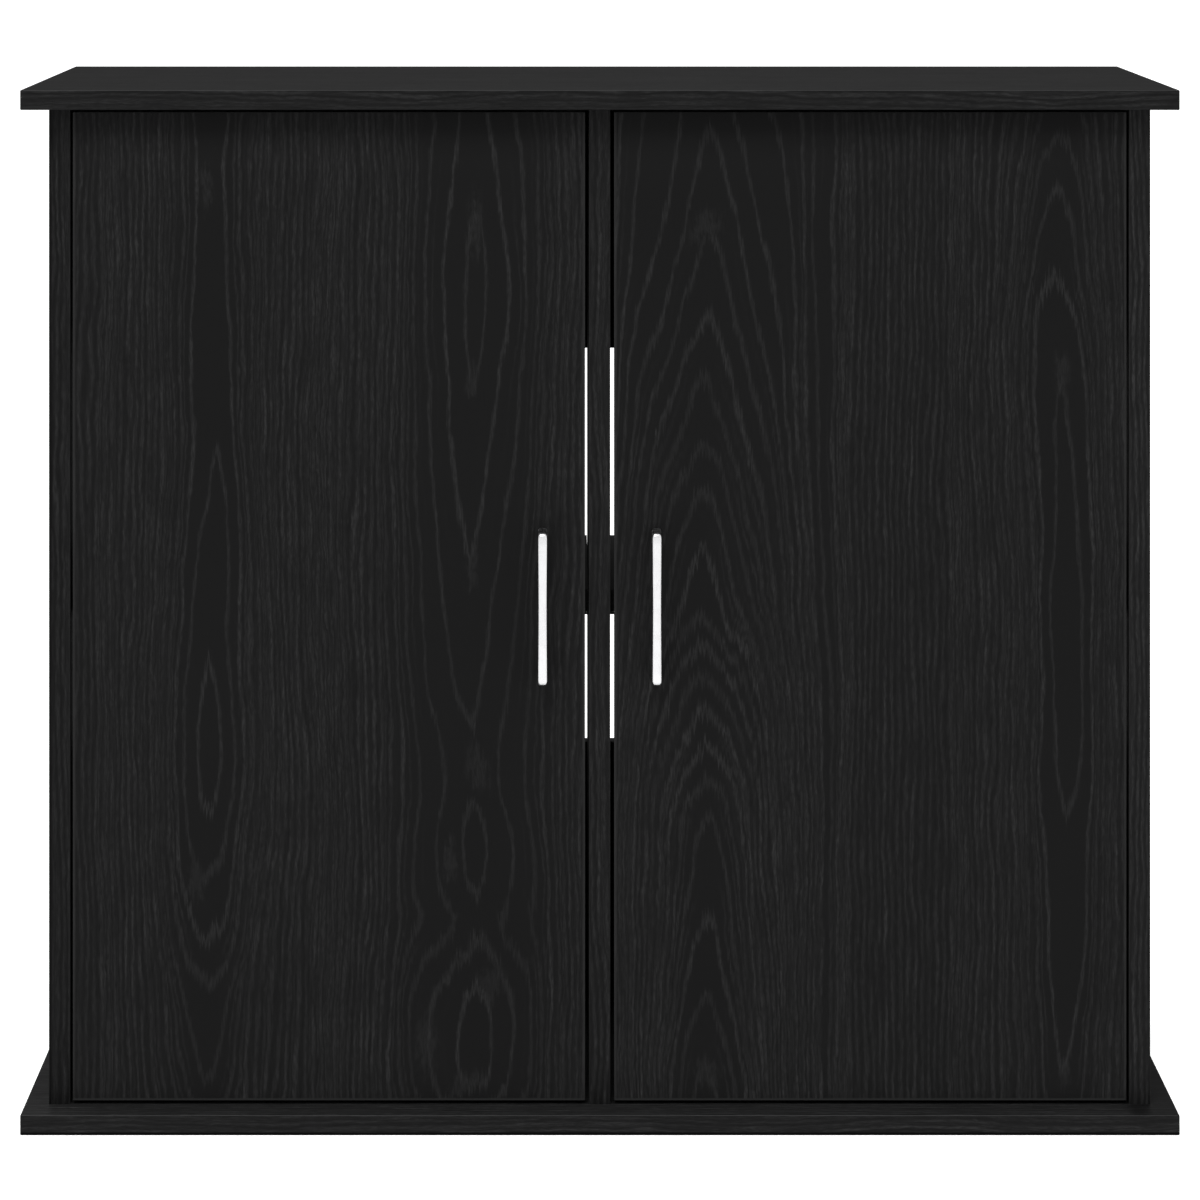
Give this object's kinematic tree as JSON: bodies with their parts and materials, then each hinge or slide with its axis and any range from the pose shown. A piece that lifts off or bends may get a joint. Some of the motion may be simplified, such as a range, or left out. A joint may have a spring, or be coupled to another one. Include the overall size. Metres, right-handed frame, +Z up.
{
  "type": "aquarium stand cabinet",
  "caption": "Free-standing two-door cabinet with overhanging top and base slabs that carries an aquarium; inset doors on concealed hinges, a shelf in each bay, half-open back.",
  "frame": {"origin": "centre of the footprint, on the floor", "axes": "+Z up, -Y is the front with the doors, +X to the right seen from the front"},
  "size_m": [0.81, 0.36, 0.73],
  "materials": {
    "black_oak_board": "black oak decor foil, fine grain, satin",
    "satin_silver_handle": "satin silver",
    "nickel_steel": "nickel plated",
    "die_cast_zinc": "die-cast zinc, matte",
    "beech": "raw beech"
  },
  "bodies": {
    "root": {"top_panel": "black_oak_board", "base_panel": "black_oak_board", "left_side_panel": "black_oak_board", "right_side_panel": "black_oak_board", "centre_divider": "black_oak_board", "left_shelf": "black_oak_board", "right_shelf": "black_oak_board", "upper_left_back_rail": "black_oak_board", "upper_right_back_rail": "black_oak_board", "lower_left_back_rail": "black_oak_board", "lower_right_back_rail": "black_oak_board", "left_shelf_pins": "nickel_steel", "right_shelf_pins": "nickel_steel", "top_cam_locks": "die_cast_zinc", "top_cam_bolts": "nickel_steel", "rail_cam_locks": "die_cast_zinc", "rail_cam_bolts": "nickel_steel", "divider_cam_bolts": "nickel_steel", "wooden_dowels": "beech", "base_screws": "nickel_steel", "left_hinge_arms": "nickel_steel", "left_arm_rivets": "nickel_steel", "left_mounting_plates": "nickel_steel", "left_plate_screws": "nickel_steel", "left_arm_screws": "nickel_steel", "right_hinge_arms": "nickel_steel", "right_arm_rivets": "nickel_steel", "right_mounting_plates": "nickel_steel", "right_plate_screws": "nickel_steel", "right_arm_screws": "nickel_steel"},
    "left_door": {"left_door": "black_oak_board", "left_handle": "satin_silver_handle", "left_handle_screws": "nickel_steel", "left_hinge_cups": "nickel_steel", "left_cup_screws": "nickel_steel", "left_cup_rivets": "nickel_steel"},
    "left_outer_links": {"left_outer_links": "nickel_steel"},
    "left_inner_links": {"left_inner_links": "nickel_steel"},
    "right_door": {"right_door": "black_oak_board", "right_handle": "satin_silver_handle", "right_handle_screws": "nickel_steel", "right_hinge_cups": "nickel_steel", "right_cup_screws": "nickel_steel", "right_cup_rivets": "nickel_steel"},
    "right_outer_links": {"right_outer_links": "nickel_steel"},
    "right_inner_links": {"right_inner_links": "nickel_steel"}
  },
  "joints": [
    {"name": "left_outer_link_turn", "type": "hinge", "parent": "root", "child": "left_outer_links", "pos_m": [-0.34933, -0.1448, 0.365], "axis": [0, 0, -1], "range_deg": [0, 30]},
    {"name": "left_door_swing", "type": "hinge", "parent": "left_outer_links", "child": "left_door", "pos_m": [-0.35972, -0.14567, 0.365], "axis": [0, 0, -1], "range_deg": [0, 65]},
    {"name": "left_inner_link_turn", "type": "hinge", "parent": "root", "child": "left_inner_links", "pos_m": [-0.35488, -0.14409, 0.365], "axis": [0, 0, -1], "range_deg": [0, 115.85]},
    {"name": "right_outer_link_turn", "type": "hinge", "parent": "root", "child": "right_outer_links", "pos_m": [0.34933, -0.1448, 0.365], "axis": [0, 0, 1], "range_deg": [0, 30]},
    {"name": "right_door_swing", "type": "hinge", "parent": "right_outer_links", "child": "right_door", "pos_m": [0.35972, -0.14567, 0.365], "axis": [0, 0, 1], "range_deg": [0, 65]},
    {"name": "right_inner_link_turn", "type": "hinge", "parent": "root", "child": "right_inner_links", "pos_m": [0.35488, -0.14409, 0.365], "axis": [0, 0, 1], "range_deg": [0, 115.85]}
  ],
  "couplings": [
    {"joint": "left_outer_link_turn", "follows": "left_door_swing", "ratio": 0.4615},
    {"joint": "left_inner_link_turn", "follows": "left_door_swing", "ratio": 1.7822},
    {"joint": "right_outer_link_turn", "follows": "right_door_swing", "ratio": 0.4615},
    {"joint": "right_inner_link_turn", "follows": "right_door_swing", "ratio": 1.7822}
  ]
}
